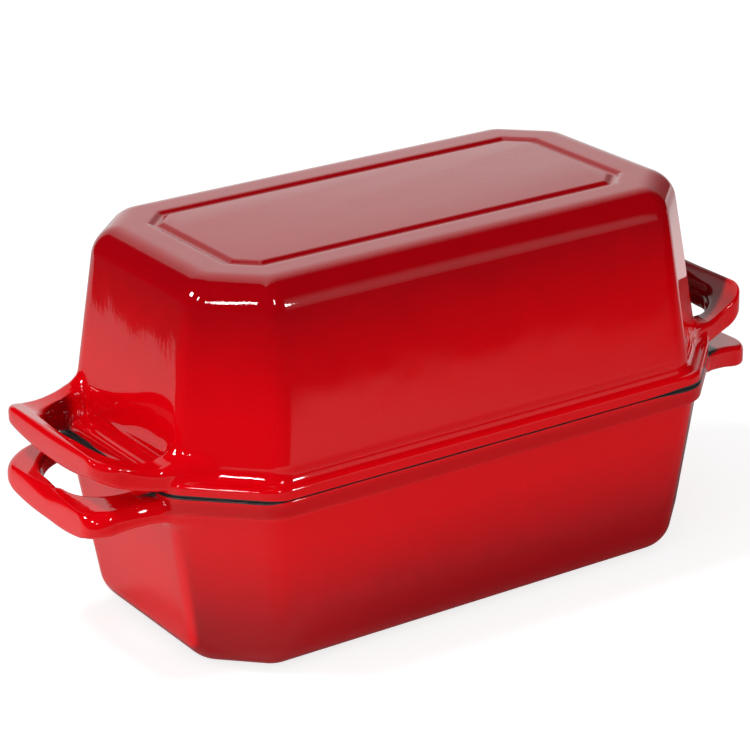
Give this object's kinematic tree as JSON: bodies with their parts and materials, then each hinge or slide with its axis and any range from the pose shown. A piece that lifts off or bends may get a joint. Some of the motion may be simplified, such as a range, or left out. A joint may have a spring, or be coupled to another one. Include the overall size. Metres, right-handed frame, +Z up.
{
  "type": "lidded cast iron loaf pan",
  "caption": "Enamelled cast iron loaf pan with cut corners, a loop handle at both ends and a deep upturned pan as its lid, for baking bread covered.",
  "frame": {"origin": "middle of the base pan's foot, in the plane it stands on", "axes": "+X along the pan towards one handle, +Y across it, +Z up"},
  "size_m": [0.298, 0.137, 0.148],
  "materials": {
    "base_enamel": "glossy red vitreous enamel outside, satin black enamel on the rim and inside",
    "lid_enamel": "glossy red vitreous enamel outside, satin black enamel on the rim and inside"
  },
  "bodies": {
    "root": {"base_pan": "base_enamel", "lid": "lid_enamel"}
  },
  "joints": []
}
